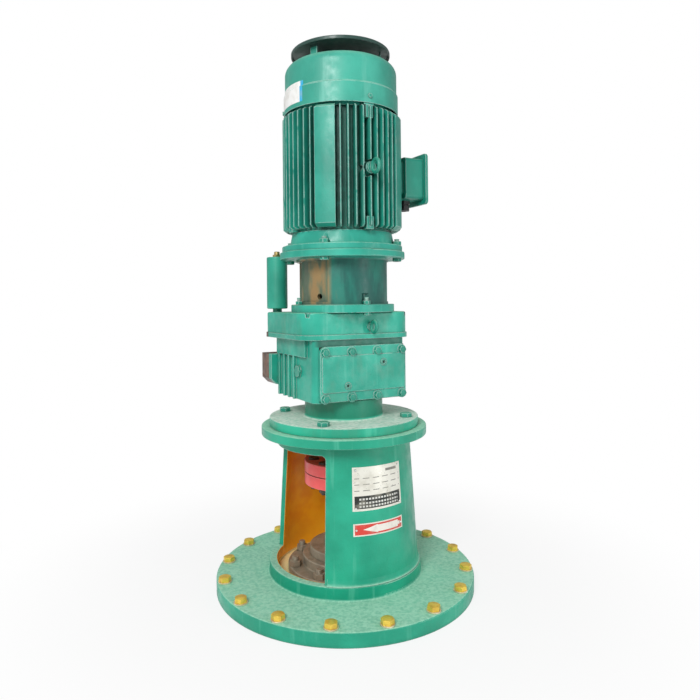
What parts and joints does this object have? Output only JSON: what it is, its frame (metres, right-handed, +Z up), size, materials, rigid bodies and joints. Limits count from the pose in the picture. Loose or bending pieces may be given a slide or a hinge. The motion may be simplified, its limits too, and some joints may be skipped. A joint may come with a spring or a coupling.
{
  "type": "tank agitator drive",
  "caption": "Vertical geared motor on a windowed cast stand with a round tank flange, a shaft seal, a pin coupling and a rain cap over the fan.",
  "frame": {"origin": "centre of the base flange's underside", "axes": "+Z up along the shaft, -Y towards the reducer's inspection cover, +X towards the terminal box"},
  "size_m": [0.6, 0.6, 1.243],
  "materials": {
    "green_paint": "gloss enamel over cast iron, dusty",
    "yellow_zinc": "yellow passivated zinc",
    "red_paint": "red enamel",
    "seal_steel": "bare, oily and browned",
    "steel": "ground",
    "lamination": "stacked sheet",
    "winding": "varnished copper wire",
    "rubber": "matt",
    "moulding": "moulded",
    "brass": "dull",
    "plate": "satin sheet",
    "red_plate": "printed sheet"
  },
  "bodies": {
    "machine": {"arrow_plate": "red_plate", "base_bolts": "yellow_zinc", "base_washers": "yellow_zinc", "bearing_bridge": "green_paint", "bearing_outer_rings": "steel", "breather_plug": "brass", "cable_gland": "moulding", "cover_screws": "green_paint", "drive_end_shield": "green_paint", "expansion_tank": "green_paint", "fan_cowl": "green_paint", "flange_bolts": "green_paint", "gear_cover": "green_paint", "gear_housing": "green_paint", "gland_nut": "seal_steel", "hatch_cover": "green_paint", "hatch_gasket": "rubber", "hatch_screws": "green_paint", "lantern": "green_paint", "lantern_studs": "green_paint", "motor_bolts": "green_paint", "motor_eye": "green_paint", "motor_frame": "green_paint", "name_plate": "plate", "oil_plugs": "steel", "output_flange": "green_paint", "plate_rivets": "plate", "rain_cap": "green_paint", "rear_shield": "green_paint", "reducer_eye": "green_paint", "seal_housing": "seal_steel", "seal_studs": "seal_steel", "shaft_seals": "rubber", "small_screws": "green_paint", "stand": "green_paint", "stator_core": "lamination", "stator_windings": "winding", "terminal_block": "moulding", "terminal_box": "green_paint", "terminal_lid": "green_paint"},
    "drive_shaft": {"motor_shaft": "steel", "rotor_core": "lamination", "cooling_fan": "moulding", "jaw_hub_upper": "steel", "jaw_spider": "rubber", "jaw_hub_lower": "steel", "input_shaft": "steel", "input_bearing_inners": "steel"},
    "layshaft_body": {"layshaft": "steel", "layshaft_gear": "steel", "layshaft_bearing_inners": "steel"},
    "agitator_drive": {"output_shaft": "steel", "output_gear": "steel", "output_spacer": "steel", "output_bearing_inners": "steel", "upper_coupling": "red_paint", "lower_coupling": "red_paint", "coupling_bushes": "rubber", "coupling_pins": "seal_steel", "agitator_shaft": "steel"}
  },
  "joints": [
    {"name": "motor_spin", "type": "hinge", "parent": "machine", "child": "drive_shaft", "pos_m": [0, 0, 0.9], "axis": [0, 0, 1], "continuous": true},
    {"name": "layshaft_spin", "type": "hinge", "parent": "machine", "child": "layshaft_body", "pos_m": [0, 0.08, 0.53], "axis": [0, 0, 1], "continuous": true},
    {"name": "output_spin", "type": "hinge", "parent": "machine", "child": "agitator_drive", "pos_m": [0, 0, 0.4], "axis": [0, 0, 1], "continuous": true}
  ],
  "couplings": [
    {"joint": "layshaft_spin", "follows": "motor_spin", "ratio": -0.2549},
    {"joint": "output_spin", "follows": "motor_spin", "ratio": 0.078031}
  ]
}
